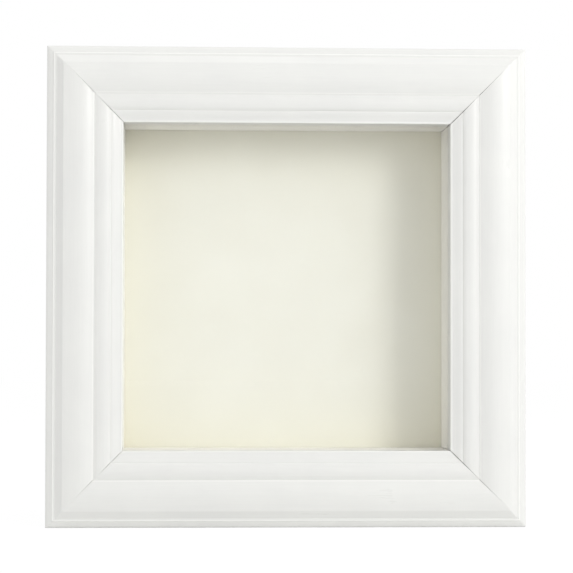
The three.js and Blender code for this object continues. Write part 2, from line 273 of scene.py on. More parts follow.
def ranged(tree, value, low, high, fromLow=0.0, fromHigh=1.0):
    # A value moved from one range to another, and held at its ends.
    inputs = {"Value": value, "From Min": fromLow, "From Max": fromHigh, "To Min": low, "To Max": high}
    return nodeIn(tree, "ShaderNodeMapRange", inputs).outputs["Result"]


def cloudGroup():
    # Broad soft patches and a fine even tooth, such as paint, paper and rubber have.
    tree, start, end = effectGroup(
        "cloudsAndTooth",
        {"Vector": "Vector", "Patch Scale": "Float", "Tooth Scale": "Float", "Tooth Share": "Float"},
        {"Patches": "Float", "Height": "Float"})
    patches = nodeIn(tree, "ShaderNodeTexNoise", {
        "Vector": start.outputs["Vector"], "Scale": start.outputs["Patch Scale"],
        "Detail": 4.0, "Roughness": 0.55, "Distortion": 0.3})
    tooth = nodeIn(tree, "ShaderNodeTexNoise", {
        "Vector": start.outputs["Vector"], "Scale": start.outputs["Tooth Scale"], "Detail": 2.0})
    height = mixValues(tree, start.outputs["Tooth Share"], patches.outputs["Fac"], tooth.outputs["Fac"])
    tree.links.new(patches.outputs["Fac"], end.inputs["Patches"])
    tree.links.new(height, end.inputs["Height"])
    return tree


def streakGroup():
    # Long fine lines: a noise whose pattern is stretched along one axis by a mapping.
    tree, start, end = effectGroup(
        "fineStreaks", {"Vector": "Vector", "Stretch": "Vector", "Scale": "Float"}, {"Lines": "Float"})
    place = nodeIn(tree, "ShaderNodeMapping", {
        "Vector": start.outputs["Vector"], "Scale": start.outputs["Stretch"]})
    lines = nodeIn(tree, "ShaderNodeTexNoise", {
        "Vector": place.outputs["Vector"], "Scale": start.outputs["Scale"],
        "Detail": 3.0, "Roughness": 0.6})
    tree.links.new(lines.outputs["Fac"], end.inputs["Lines"])
    return tree


def speckGroup():
    # Small scattered specks: the middles of a random share of the cells of a Voronoi pattern.
    tree, start, end = effectGroup(
        "scatteredSpecks", {"Vector": "Vector", "Scale": "Float", "Size": "Float", "Share": "Float"},
        {"Specks": "Float"})
    cells = nodeIn(tree, "ShaderNodeTexVoronoi", {
        "Vector": start.outputs["Vector"], "Scale": start.outputs["Scale"]})
    near = computed(tree, "LESS_THAN", cells.outputs["Distance"], start.outputs["Size"])
    pick = nodeIn(tree, "ShaderNodeSeparateColor", {"Color": cells.outputs["Color"]})
    kept = computed(tree, "LESS_THAN", pick.outputs["Red"], start.outputs["Share"])
    tree.links.new(computed(tree, "MULTIPLY", near, kept), end.inputs["Specks"])
    return tree


effects = {"clouds": cloudGroup(), "streaks": streakGroup(), "specks": speckGroup()}


def effect(tree, name, inputs):
    return nodeIn(tree, "ShaderNodeGroup", inputs, node_tree=effects[name])


def clouded(tree, place, look):
    # The patches of a finish, and their height with its tooth.
    clouds = effect(tree, "clouds", {
        "Vector": place, "Patch Scale": look["patchScale"], "Tooth Scale": look["toothScale"],
        "Tooth Share": look["toothShare"]})
    return clouds.outputs["Patches"], clouds.outputs["Height"]


def streaked(tree, place, stretch, scale):
    return effect(tree, "streaks", {"Vector": place, "Stretch": stretch, "Scale": scale}).outputs["Lines"]


def toned(tree, tone, look):
    # A finish's colour, from dark to light as a value passes through the spread.
    share = ranged(tree, tone, 0, 1, *look["toneSpread"])
    return mixColours(tree, share, look["dark"], look["light"])


def speckled(tree, place, look, colour, over):
    # A colour with small specks of another over it.
    specks = effect(tree, "specks", {"Vector": place, **look["specks"]}).outputs["Specks"]
    return mixColours(tree, ranged(tree, specks, 0, look["speckShare"]), colour, over)


def shaded(tree, colour, roughness, height=None, bump=None, **plain):
    # The Principled shader and the output. A bump is a strength and a distance in metres, and plain
    # keywords go on the shader's own sockets.
    shader = nodeIn(tree, "ShaderNodeBsdfPrincipled", {"Base Color": colour, "Roughness": roughness})
    for label, value in plain.items():
        shader.inputs[label.replace("_", " ")].default_value = value
    if height is not None:
        relief = nodeIn(tree, "ShaderNodeBump", {
            "Height": height, "Strength": bump[0], "Distance": bump[1]})
        tree.links.new(relief.outputs["Normal"], shader.inputs["Normal"])
    end = nodeIn(tree, "ShaderNodeOutputMaterial")
    tree.links.new(shader.outputs["BSDF"], end.inputs["Surface"])
    return shader, end


paint = {
    "light": (0.878, 0.88, 0.85, 1), "dark": (0.842, 0.843, 0.82, 1),
    # The arrises' paler colour is partly rubbed wear and partly a painted highlight.
    "rubbed": (0.965, 0.967, 0.938, 1), "rubbedFrom": (0.05, 0.45),
    # The hollows' darker colour is painted shade.
    "pooled": (0.83, 0.826, 0.795, 1), "pooledFrom": (-1.0, -0.2), "pooledShare": 0.5,
    "patchScale": 26.0, "toothScale": 1700.0, "toothShare": 0.5,
    "streakScale": 1100.0, "stretch": 0.03, "streakShare": 0.35, "lineShare": 0.5,
    "toneSpread": (0.35, 0.65), "roughness": (0.37, 0.27), "bump": (0.22, 0.00005),
}


def satinPaint(name, alongX):
    # Sprayed and rubbed-down satin paint, with faint lines along the moulding's length. Arrises get a
    # paler colour, partly rubbed wear and partly a painted highlight, and hollows get a darker colour
    # that is painted shade.
    material, tree, place = newMaterial(name)
    patches, tooth = clouded(tree, place, paint)
    stretch = (paint["stretch"], 1.0, 1.0) if alongX else (1.0, 1.0, paint["stretch"])
    lines = streaked(tree, place, stretch, paint["streakScale"])
    tone = mixValues(tree, paint["streakShare"], patches, lines)
    colour = toned(tree, tone, paint)
    turn = nodeIn(tree, "ShaderNodeAttribute", attribute_name="arris").outputs["Fac"]
    # Painted highlight on the arrises, partly rubbed wear.
    highlightShare = ranged(tree, turn, 0, 1, *paint["rubbedFrom"])
    colour = mixColours(tree, highlightShare, colour, paint["rubbed"])
    # Painted shade in the hollows.
    pooled = ranged(tree, turn, paint["pooledShare"], 0, *paint["pooledFrom"])
    colour = mixColours(tree, pooled, colour, paint["pooled"])
    roughness = ranged(tree, tone, *paint["roughness"], *paint["toneSpread"])
    shaded(tree, colour, roughness, mixValues(tree, paint["lineShare"], tooth, lines), paint["bump"])
    return material


lining = {
    "light": (0.95, 0.938, 0.90, 1), "dark": (0.93, 0.915, 0.872, 1), "roughness": (0.5, 0.65),
    "patchScale": 30.0, "toneSpread": (0.35, 0.65), "toothScale": 1400.0, "toothShare": 0.6,
    "bump": (0.25, 0.00005),
}
rubber = {
    "light": (0.82, 0.82, 0.80, 1), "dark": (0.74, 0.74, 0.71, 1), "roughness": (0.42, 0.56),
    "patchScale": 150.0, "toneSpread": (0.3, 0.7), "toothScale": 1800.0, "toothShare": 0.5,
    "bump": (0.15, 0.00003),
}


def plainFinish(name, look):
    # Flat paint or moulded rubber: faint clouds and a fine tooth.
    material, tree, place = newMaterial(name)
    patches, tooth = clouded(tree, place, look)
    roughness = ranged(tree, patches, *look["roughness"])
    shaded(tree, toned(tree, patches, look), roughness, tooth, look["bump"])
    return material


board = {
    "light": (0.895, 0.895, 0.81, 1), "dark": (0.873, 0.87, 0.78, 1), "fleck": (0.825, 0.815, 0.72, 1),
    # The darker, warmer edge colour is painted shade from the walls round the board.
    "aged": (0.815, 0.79, 0.643, 1), "agePower": 3.6, "ageReach": 2.0,
    "patchScale": 22.0, "toneSpread": (0.38, 0.62), "toothScale": 900.0, "toothShare": 0.7,
    "specks": {"Scale": 260.0, "Size": 0.12, "Share": 0.12}, "speckShare": 0.25,
    "roughness": (0.83, 0.93), "bump": (0.3, 0.00006),
}


def creamPaper():
    # Matte paper face with soft clouds, a fine tooth and a few pale fibres, and painted shade that
    # darkens
    # it towards its edges by the walls: the shade grows with the power of the distance from the middle,
    # across and up.
    material, tree, place = newMaterial("creamPaper")
    patches, tooth = clouded(tree, place, board)
    edges = []
    apart = nodeIn(tree, "ShaderNodeSeparateXYZ", {"Vector": place})
    for axis, middle in (("X", 0.0), ("Z", halfOuter)):
        fromMiddle = ranged(tree, apart.outputs[axis], -1, 1, (middle - windowHalf) * mm,
                            (middle + windowHalf) * mm)
        edges.append(computed(tree, "POWER", computed(tree, "ABSOLUTE", fromMiddle), board["agePower"]))
    # Painted shade: darker and warmer towards the board's edges.
    edgeShadeShare = ranged(tree, computed(tree, "ADD", *edges), 0, 1, 0, board["ageReach"])
    colour = mixColours(tree, edgeShadeShare, toned(tree, patches, board), board["aged"])
    colour = speckled(tree, place, board, colour, board["fleck"])
    roughness = ranged(tree, patches, *board["roughness"])
    shaded(tree, colour, roughness, tooth, board["bump"], Specular_IOR_Level=0.25)
    return material


hardboard = {
    "light": (0.36, 0.215, 0.115, 1), "dark": (0.235, 0.13, 0.065, 1), "fibre": (0.45, 0.29, 0.17, 1),
    "patchScale": 60.0, "toneSpread": (0.38, 0.62), "toothScale": 1100.0, "toothShare": 0.6,
    "specks": {"Scale": 500.0, "Size": 0.3, "Share": 0.2}, "speckShare": 0.45,
    "stretch": (0.35, 1.0, 1.0), "fibreScale": 700.0, "fibreShare": 0.45,
    "screenPitch": 1.15, "screenShade": 0.28, "roughness": (0.72, 0.9), "bump": (0.55, 0.00018),
}


def pressedFibre():
    # Hardboard: matted fibres, and on its rough face the print of the wire screen that it was pressed
    # on, the product of a sine across and a sine up.
    material, tree, place = newMaterial("pressedFibre")
    patches, tooth = clouded(tree, place, hardboard)
    fibres = streaked(tree, place, hardboard["stretch"], hardboard["fibreScale"])
    colour = speckled(tree, place, hardboard, toned(tree, tooth, hardboard), hardboard["fibre"])
    apart = nodeIn(tree, "ShaderNodeSeparateXYZ", {"Vector": place})
    turnsPerMetre = 2 * math.pi / (hardboard["screenPitch"] * mm)
    ripples = [computed(tree, "SINE", computed(tree, "MULTIPLY", apart.outputs[axis], turnsPerMetre))
               for axis in ("X", "Z")]
    printed = ranged(tree, computed(tree, "MULTIPLY", *ripples), 0, 1, -1, 1)
    shade = ranged(tree, printed, 0, hardboard["screenShade"])
    colour = mixColours(tree, shade, colour, hardboard["dark"])
    height = mixValues(tree, hardboard["fibreShare"], printed, fibres)
    roughness = ranged(tree, patches, *hardboard["roughness"])
    shaded(tree, colour, roughness, height, hardboard["bump"], Specular_IOR_Level=0.3)
    return material


plating = {
    "patchScale": 220.0, "toneSpread": (0.3, 0.7), "toothScale": 2600.0, "toothShare": 0.5,
    "specks": {"Scale": 900.0, "Size": 0.25, "Share": 0.15}, "speckShare": 0.35,
    "grainScale": 2400.0, "grainShare": 0.6, "bump": (0.12, 0.00002),
}
zincPlate = {
    "light": (0.66, 0.67, 0.68, 1), "dark": (0.52, 0.53, 0.55, 1), "roughness": (0.26, 0.42),
    "stretch": (0.05, 1, 1), **plating,
}
zincScrew = {
    "light": (0.63, 0.64, 0.66, 1), "dark": (0.48, 0.49, 0.51, 1), "roughness": (0.28, 0.44),
    "stretch": (1, 0.3, 1), **plating,
}
brightNail = {
    "light": (0.54, 0.54, 0.55, 1), "dark": (0.38, 0.38, 0.39, 1), "roughness": (0.3, 0.5),
    "stretch": (1, 0.1, 1), **plating,
}


def platedSteel(name, look):
    # Bright plating: a faint rolled grain, clouded passivation and small dull spots.
    material, tree, place = newMaterial(name)
    patches, tooth = clouded(tree, place, look)
    grain = streaked(tree, place, look["stretch"], look["grainScale"])
    colour = speckled(tree, place, look, toned(tree, patches, look), look["dark"])
    roughness = ranged(tree, patches, *look["roughness"], *look["toneSpread"])
    relief = mixValues(tree, look["grainShare"], tooth, grain)
    shaded(tree, colour, roughness, relief, look["bump"], Metallic=1.0)
    return material


pane = {
    "tint": (0.992, 0.992, 0.988, 1), "lampTint": (0.99, 0.988, 0.98, 1), "roughness": (0.0, 0.03),
    "patchScale": 18.0, "toothScale": 300.0, "toothShare": 0.2, "smearSpread": (0.5, 0.8),
}


def clearPane():
    # Picture glass. Light from the lamps passes straight through to what is behind the pane.
    material, tree, place = newMaterial("clearPane")
    smears = clouded(tree, place, pane)[0]
    roughness = ranged(tree, smears, *pane["roughness"], *pane["smearSpread"])
    shader, end = shaded(tree, pane["tint"], roughness, Transmission_Weight=1.0, IOR=1.5)
    clear = nodeIn(tree, "ShaderNodeBsdfTransparent", {"Color": pane["lampTint"]})
    rays = nodeIn(tree, "ShaderNodeLightPath")
    through = nodeIn(tree, "ShaderNodeMixShader", {0: rays.outputs["Is Shadow Ray"]})
    tree.links.new(shader.outputs["BSDF"], through.inputs[1])
    tree.links.new(clear.outputs["BSDF"], through.inputs[2])
    tree.links.new(through.outputs["Shader"], end.inputs["Surface"])
    return material


finishes = {
    "acrossRails": satinPaint("satinPaintAcross", True),
    "uprightRails": satinPaint("satinPaintUpright", False),
    "liner": plainFinish("linerPaint", lining),
    "paper": creamPaper(),
    "fibre": pressedFibre(),
    "plate": platedSteel("zincPlate", zincPlate),
    "screw": platedSteel("zincScrew", zincScrew),
    "nail": platedSteel("brightNail", brightNail),
    "rubber": plainFinish("softRubber", rubber),
    "glass": clearPane(),
}
print("materials made:", len(finishes))


# Mouldings

moulding = {
    "edgeBeadWidth": 3.7, "riserWidth": 0.4, "filletWidth": 1.5, "coveWidth": 4.3,
    "crownOuterWidth": 9.0, "grooveWidth": 0.9, "innerBeadWidth": 8.9, "innerQuirkWidth": 0.5,
    "lipOgeeWidth": 5.5, "lipFlatWidth": 1.05,
    "edgeBeadDrop": 3.0, "riserHeight": 0.55, "filletHeight": 0.65,
    "crownHeight": 5.8, "crownOuterHeight": 4.25, "crownInnerHeight": 3.3,
    "grooveHeight": 3.05, "innerBeadOuterHeight": 3.15, "innerBeadInnerHeight": 2.35,
    "innerBeadRise": 1.75, "lipOgeeHeight": 2.2, "innerQuirkDepth": 0.1, "lipRound": 0.6,
    "coveTurn": (0.36, 0.6), "ogeeTurns": (0.2, 0.6, 0.9), "beadTurns": (0.15, 0.34),
    "backArris": 0.8, "rabbetWidth": 6.35, "rabbetGap": 0.2,
    "sectionPoints": 300, "evenShare": 0.75, "lengthSteps": 60,
    "easeRows": (0, 0.05, 0.12, 0.2, 0.3), "easeDepth": 0.1, "evenFrom": 1.0,
}
# How far paint rounds a corner and the painted highlight of a rubbed arris spreads from it, and how sharp
# a corner has to be to get that highlight
coat = {
    "paintReach": 0.12, "rubbedReach": 0.3, "arrisFrom": 0.85, "hollowShare": 0.6,
    "traceStep": 0.04, "farthest": 1.0,  # the traced points' spacing, and where a bell curve ends
}
# Slow waves in the painted face: wavelength over 2 pi along and across the side, and turn of the phase
waves = {
    "lengths": ((5.3, 2.1, 1.0), (9.7, -3.7, 2.3), (3.1, 5.9, 4.1)), "height": 0.05, "fadeDepth": 1.5,
    "phases": {"bottom": 0.4, "left": 1.9, "top": 3.1, "right": 4.6},
}
# How far each mitre stands open at the lip and at the outer corner, as drying has left them
mitreOpenings = {
    "bottom_left": (0.12, 0.03), "top_left": (0.16, 0.04),
    "top_right": (0.26, 0.03), "bottom_right": (0.28, 0.04),
}
sideTurns = {"bottom": 0, "left": 90, "top": 180, "right": 270}
sideCorners = {
    "bottom": ("bottom_left", "bottom_right"), "left": ("top_left", "bottom_left"),
    "top": ("top_right", "top_left"), "right": ("bottom_right", "top_right"),
}


def onSide(along, across, forward, side):
    # Points made on the bottom side, turned about the window's centre in quarter turns.
    angle = math.radians(sideTurns[side])
    c, s = round(math.cos(angle)), round(math.sin(angle))
    up = across - halfOuter
    x, z = along * c + up * s, halfOuter - along * s + up * c
    return np.stack(np.broadcast_arrays(x, backFace - forward, z), axis=-1)


def mouldingSection():
    # The section's outline: first coordinate inwards from the outer face, second forwards from the back.
    # The outer features are counted from the outer edge, and the lip's from the lip. The crown is two
    # parabolas that meet at its peak, and the cove climbs from the fillet to the crown's arris.
    m = moulding
    lipFace = mouldingDepth - m["crownHeight"]
    lipFlatEnd = mouldingWidth - m["lipFlatWidth"]
    lipOgeeEnd = lipFlatEnd - m["lipOgeeWidth"]
    beadInner = lipOgeeEnd - m["innerQuirkWidth"]
    beadOuter = beadInner - m["innerBeadWidth"]
    crownInner = beadOuter - m["grooveWidth"]
    filletOuter = m["edgeBeadWidth"] + m["riserWidth"]
    filletInner = filletOuter + m["filletWidth"]
    crownOuter = filletInner + m["coveWidth"]
    crownPeak = crownOuter + m["crownOuterWidth"]
    filletTop = lipFace + m["filletHeight"]
    riserFoot = filletTop - m["riserHeight"]
    edgeBeadWidth = m["edgeBeadWidth"]
    grooveTop = lipFace + m["grooveHeight"]
    crownTop = mouldingDepth
    crownFoot = lipFace + m["crownOuterHeight"]
    coveAcross, coveUp = m["coveTurn"]
    coveTurn = (crownOuter - m["coveWidth"] * coveAcross, filletTop + (crownFoot - filletTop) * coveUp)
    ogeeFirst, ogeeSecond, ogeeUp = m["ogeeTurns"]
    ogeeTop = lipFace + m["lipOgeeHeight"]
    beadFirst, beadSecond = m["beadTurns"]
    beadLow, beadHigh = lipFace + m["innerBeadInnerHeight"], lipFace + m["innerBeadOuterHeight"]
    rabbetSide = mouldingWidth - m["rabbetWidth"]
    rabbetFloor = backFace - boxOf("glass_pane")[0][1] + m["rabbetGap"]
    parts = [
        [(rabbetSide, 0), (rabbetSide, rabbetFloor), (mouldingWidth, rabbetFloor)],
        arc((mouldingWidth - m["lipRound"], lipFace - m["lipRound"]), m["lipRound"], 0, 90),
        bezier((lipFlatEnd, lipFace), (lipFlatEnd - m["lipOgeeWidth"] * ogeeFirst, lipFace),
               (lipFlatEnd - m["lipOgeeWidth"] * ogeeSecond, lipFace + m["lipOgeeHeight"] * ogeeUp),
               (lipOgeeEnd, ogeeTop)),
        [(lipOgeeEnd - m["innerQuirkWidth"] / 2, ogeeTop - m["innerQuirkDepth"])],
        bezier((beadInner, beadLow),
               (beadInner - m["innerBeadWidth"] * beadFirst, beadLow + m["innerBeadRise"]),
               (beadOuter + m["innerBeadWidth"] * beadSecond, beadHigh + m["innerBeadRise"]),
               (beadOuter, beadHigh)),
        [(beadOuter - m["grooveWidth"] / 3, grooveTop), (crownInner, grooveTop)],
        bezier((crownInner, lipFace + m["crownInnerHeight"]), ((crownInner + crownPeak) / 2, crownTop),
               (crownPeak, crownTop), steps=40),
        bezier((crownPeak, crownTop), ((crownPeak + crownOuter) / 2, crownTop), (crownOuter, crownFoot),
               steps=40),
        bezier((crownOuter, crownFoot), coveTurn, (filletInner, filletTop), steps=40)[1:],
        [(filletOuter, filletTop), (edgeBeadWidth + m["riserWidth"] / 4, riserFoot)],
        bezier((edgeBeadWidth, riserFoot), (edgeBeadWidth / 2, riserFoot - m["edgeBeadDrop"] / 3),
               (0, riserFoot - m["edgeBeadDrop"] / 2), (0, riserFoot - m["edgeBeadDrop"])),
        [(0, m["backArris"]), (m["backArris"], 0)],
    ]
    return np.concatenate([np.array(part, dtype=float) for part in parts])


def bellMean(values, reach):
    # The mean of each value and its neighbours round a closed trace, weighed by a bell curve.
    steps = round(coat["farthest"] / coat["traceStep"])
    offsets = np.arange(-steps, steps + 1)
    weights = np.exp(-0.5 * (offsets * coat["traceStep"] / reach) ** 2)
    weights /= weights.sum()
    return sum(weight * np.roll(values, -offset, axis=0) for offset, weight in zip(offsets, weights))


def paintedSection():
    # Paint softens every corner: the outline is averaged along its own length by a bell curve, then its
    # points are taken closer together where it turns. The bend is over 0 on arrises, where a painted
    # highlight spreads by a wider bell curve, and under 0 in hollows, which get painted shade.
    closed, length = measured(mouldingSection())
    step = coat["traceStep"]
    soft = bellMean(between(closed, length, np.arange(0, length[-1], step)), coat["paintReach"])
    ahead, behind = np.roll(soft, -1, axis=0) - soft, soft - np.roll(soft, 1, axis=0)
    turn = np.cross(behind, ahead) / (np.linalg.norm(behind, axis=1) * np.linalg.norm(ahead, axis=1))
    want = np.cumsum(np.abs(turn) / np.abs(turn).sum() + moulding["evenShare"] / len(turn))
    index = np.arange(len(want))
    wanted = np.linspace(0, want[-1], moulding["sectionPoints"], endpoint=False)
    chosen = np.interp(wanted, want, index)
    # Painted highlight spread round the arrises, partly rubbed wear.
    rubbed = bellMean(np.maximum(turn / step - coat["arrisFrom"], 0), coat["rubbedReach"])
    # The hollows' bend, which sets their painted shade.
    hollow = coat["hollowShare"] * np.minimum(turn / step, 0)
    bend = np.clip(np.interp(chosen, index, hollow + rubbed), -1, 1)
    return between(soft, index, chosen), bend


def mouldingPoints(side, section):
    # The section carried along the side. Each end leans at 45 degrees, less half the open mitre, and
    # its rows are eased in by a square. The painted face is pressed in by slow waves: the mean of a few
    # sines of the place along and across the side.
    m = moulding
    across, forward = section.T
    share = np.clip(across / mouldingWidth, 0, 1)
    reaches = []
    for corner in sideCorners[side]:
        atLip, atOuter = mitreOpenings[corner]
        reaches.append(halfOuter - across - (atOuter + (atLip - atOuter) * share ** 2) / math.sqrt(2))
    ends = np.array([*m["easeRows"], m["evenFrom"]])[:, None]
    first, last = ends - reaches[0], reaches[1] - ends[::-1]
    middle = np.linspace(0, 1, m["lengthSteps"])[1:-1, None]
    along = np.concatenate([first, first[-1] + (last[0] - first[-1]) * middle, last])
    fromEnd = np.minimum(along + reaches[0], reaches[1] - along)
    eased = m["easeDepth"] * np.clip(1 - fromEnd / m["easeRows"][-1], 0, 1) ** 2
    phase = waves["phases"][side]
    wave = sum(np.sin(along / lengthwise + across / crosswise + turns * phase)
               for lengthwise, crosswise, turns in waves["lengths"])
    lipFace = mouldingDepth - m["crownHeight"]
    front = np.clip((forward - lipFace) / waves["fadeDepth"] + 1, 0, 1)
    count = len(waves["lengths"])
    eased = eased + waves["height"] * front * (count + wave) / (2 * count)
    normals = outwardNormals(section)
    return onSide(along, across - eased * normals[:, 0], forward - eased * normals[:, 1], side)


def boxCutter(low, high):
    # The eight corners of a box and its six sides.
    corners = np.array([[x, y, z] for x in (low[0], high[0]) for y in (low[1], high[1])
                        for z in (low[2], high[2])])
    faces = np.array([[0, 1, 3, 2], [4, 6, 7, 5], [0, 4, 5, 1], [2, 3, 7, 6], [0, 2, 6, 4], [1, 5, 7, 3]])
    return makeMesh("cutter", corners, faces)


def rodCutter(centre, radius, length):
    # A round rod along Y, centred on a point.
    profile = np.array([radius, radius]), np.array([-length / 2, length / 2])
    return turnedMesh("cutter", *profile, centre, steps=32)


# The fastenings that need pilot holes in a rail's back, with the rail's side and the holes' radius
pilots = {
    "turn_screw_left": ("left", 1.45), "turn_screw_right": ("right", 1.45), "hanger_nail": ("top", 0.8),
}
vNail = {
    "thickness": 0.8, "cornerRadius": 1.1, "edge": 0.12, "slotGap": 0.12, "slotEdge": 0.001,
    "slotOverrun": 0.5,
}
vNailNames = [n for n in frame["nodes"] if n.startswith("v_nail_")]


def vNailOutline(node, grow=0.0):
    # Two wings at a right angle with a rounded bend, in the node's own box, pointing at the window.
    low, high = boxOf(node)
    half = vNail["thickness"] / 2
    wing = high[0] - low[0] - 2 * half + grow
    thick = half + grow
    bend = vNail["cornerRadius"] - half
    outline = np.concatenate([
        arc((bend, bend), bend + thick, 270, 180, 8),
        arc((0, wing), thick, 180, 0, 7)[1:],
        arc((bend, bend), bend - thick, 180, 270, 6),
        arc((wing, 0), thick, 90, -90, 7)[:-1],
    ])
    signs = [1 if (low[k] + high[k]) / 2 < middle else -1 for k, middle in ((0, 0.0), (2, halfOuter))]
    corner = [low[0] + half if signs[0] > 0 else high[0] - half,
              low[2] + half if signs[1] > 0 else high[2] - half]
    return anticlockwise(outline * np.array(signs) + np.array(corner))


def vNailMesh(node, name, grow=0.0, overrun=0.0, edge=vNail["edge"]):
    # The two wings carried along Y, past both ends of the node's box by the overrun.
    low, high = boxOf(node)
    depth = high[1] - low[1] + 2 * overrun
    return prismMesh(name, vNailOutline(node, grow), low[1] - overrun, depth, edge)


def titled(text):
    # Words joined by underscores, run together with capitals.
    return "".join(word.capitalize() for word in text.split("_"))


section, sectionBend = paintedSection()
for side in sideTurns:
    node = side + "_rail"
    points = mouldingPoints(side, section)
    mesh = makeMesh(side + "Moulding", points, *prismFaces(*points.shape[:2]),
                    arris=np.tile(sectionBend, len(points)))
    cutters = [vNailMesh(n, "cutter", vNail["slotGap"], vNail["slotOverrun"], vNail["slotEdge"])
               for n in vNailNames if side in n]
    for fastening, (rail, radius) in pilots.items():
        boxes = [boxOf(n) for n in frame["nodes"] if rail == side and n.startswith(fastening)]
        cutters += [rodCutter((low + high) / 2, radius, high[1] - low[1]) for low, high in boxes]
    mesh = cutAway(mesh, cutters)
    paintName = "acrossRails" if side in ("top", "bottom") else "uprightRails"
    addPiece(side + "Moulding", mesh, finishes[paintName], "frame", [node])
print("mouldings made, with", len(section), "points round the section")

for node in vNailNames:
    mesh = vNailMesh(node, "vNail" + titled(node.removeprefix("v_nail_")))
    addPiece(mesh.name, mesh, finishes["nail"], "frame", [node])
print("V-nails made:", len(vNailNames))


# Panes, boards and spacers

cornerRadius = 0.3  # of a flat piece's outline
# Each piece's node, finish, body, material slot and the radius of its edges
flatPieces = {
    "pictureGlass": ("glass_pane", "glass", "frame", "clear_glass", 0.25),
    "creamBoard": ("display_board", "paper", "back_panel", "cream_board", 0.25),
    "hardboardBack": ("back_board", "fibre", "back_panel", "hardboard", 0.2),
    **{side + "Spacer": ("spacer_" + side, "liner", "frame", "spacer_paint", 0.3)
       for side in ("top", "bottom", "left", "right")},
}
for name, (node, finish, body, slot, edge) in flatPieces.items():
    low, high = boxOf(node)
    outline = roundedRectangle(low[[0, 2]], high[[0, 2]], cornerRadius)
    mesh = prismMesh(name, outline, low[1], high[1] - low[1], edge)
    addPiece(name, mesh, finishes[finish], body, [node])
print("pane, boards and spacers made")


# Turn buttons and their screws

turnButton = {
    "headRadius": 6.0, "tipRadius": 3.2, "reach": 15.0, "thickness": 1.0, "lift": 1.0, "liftLength": 7.0,
    "hole": 1.5, "rolledEdge": 0.25, "underEdge": 0.05, "underRoll": (0.03, 0.04),
    "outlineSteps": 96, "topRows": 12, "underRows": 8, "nearest": 0.04,
}
turnScrew = {
    "core": 0.95, "thread": 0.35, "pitch": 1.15, "headRadius": 2.9, "headHeight": 1.6, "pointLength": 3.0,
    "neckLength": 1.1, "underNeck": 0.1, "neckFlare": 0.3, "rimHeight": 0.12, "rimWidth": 0.25,
    "tip": 0.03, "crown": 0.05, "crestWidth": 1.6, "slotWidth": 0.8, "slotDepth": 0.75,
    "slotTurns": (24, -38, 71, 8), "columns": 36, "rowsPerPitch": 10,
}


def buttonOutline():
    # Two circles joined by their outer tangents, with points at even distances round them.
    b = turnButton
    tangent = math.degrees(math.acos((b["headRadius"] - b["tipRadius"]) / b["reach"]))
    outline = np.concatenate([
        arc((0, 0), b["headRadius"], tangent, 360 - tangent, 40),
        arc((b["reach"], 0), b["tipRadius"], -tangent, tangent, 30)])
    closed, length = measured(outline)
    return between(closed, length, np.linspace(0, length[-1], b["outlineSteps"], endpoint=False))


def buttonMesh(name, pivot, seat, up):
    # A plate round a hole: each row goes a share of the way from the hole to the outline, up over
    # the top face, round the rolled edge and back underneath. The tip end rises in a smooth step.
    b = turnButton
    outline = buttonOutline()
    hole = b["hole"] * outline / np.linalg.norm(outline, axis=1, keepdims=True)
    t, e, under = b["thickness"], b["rolledEdge"], b["underEdge"]
    top, below = b["topRows"], b["underRows"]
    rollInset, rollHeight = b["underRoll"]
    outwards = np.linspace(b["nearest"], 1, top)
    inwards = np.linspace(1, b["nearest"], below)
    turn = np.radians(np.linspace(90, 0, 5))[1:]
    shares = np.concatenate([[0, 0], outwards, np.ones(len(turn) + 1), inwards])
    insets = np.concatenate([[0, 0], np.full(top, e), e * (1 - np.cos(turn)), [rollInset],
                             np.full(below, under)])
    heights = np.concatenate([[under, t], np.full(top, t), t - e * (1 - np.sin(turn)), [rollHeight],
                              np.zeros(below)])
    inward = outwardNormals(outline)[None] * (insets * shares)[:, None, None]
    flat = hole[None] + (outline - hole)[None] * shares[:, None, None] - inward
    tipEnd = b["reach"] + b["tipRadius"]
    rise = smoothStep((flat[..., 0] - tipEnd + b["liftLength"]) / b["liftLength"])
    height = heights[:, None] + b["lift"] * rise
    points = np.stack([pivot[0] - up * flat[..., 1], seat + height, pivot[2] + up * flat[..., 0]],
                      axis=-1)
    return makeMesh(name, points, gridFaces(*flat.shape[:2], closeRows=True, closeColumns=True))


def screwMesh(name, centre, seat, tip, slotTurn):
    # Turned about Y: a point, a threaded shank whose radius rises in a ridge along a helix, a flared
    # neck, and a slotted head with a short rim under a quarter-ellipse dome.
    s = turnScrew
    length = seat - tip
    neckFoot = length - s["neckLength"]
    neck, rim = s["core"] + s["neckFlare"], length + s["rimHeight"]
    angle = np.linspace(0, 1, s["columns"], endpoint=False)[None]
    shank = np.arange(0, neckFoot - s["underNeck"], s["pitch"] / s["rowsPerPitch"])[:, None]
    helix = np.abs(2 * ((shank / s["pitch"] - angle) % 1) - 1)
    ridge = np.clip(s["crestWidth"] * (helix - 1) + 1, 0, 1)
    taper = np.clip(shank / s["pointLength"], s["tip"], 1)
    shankRadius = taper * (s["core"] + s["thread"] * ridge)
    dome = np.radians(np.linspace(0, 90, 12))[1:]
    headRadius = np.concatenate([[neck, neck, s["headRadius"] - s["rimWidth"], s["headRadius"]],
                                 s["headRadius"] * np.cos(dome[:-1]), [s["crown"]]])
    headHeight = np.concatenate([[neckFoot, length, length, rim],
                                 rim + (s["headHeight"] - s["rimHeight"]) * np.sin(dome)])
    radius = np.concatenate([shankRadius, np.repeat(headRadius[:, None], s["columns"], axis=1)])
    height = np.concatenate([shank[:, 0], headHeight])
    mesh = turnedMesh(name, radius, height, (centre[0], tip, centre[2]), s["columns"])
    top = seat + s["headHeight"]
    cutter = boxCutter(np.array([-2 * s["headRadius"], top - s["slotDepth"], -s["slotWidth"] / 2]),
                       np.array([2 * s["headRadius"], top + 1, s["slotWidth"] / 2]))
    place = Matrix.Translation(Vector((centre[0] * mm, 0, centre[2] * mm)))
    cutter.transform(place @ Matrix.Rotation(math.radians(slotTurn), 4, "Y"))
    return cutAway(mesh, [cutter])


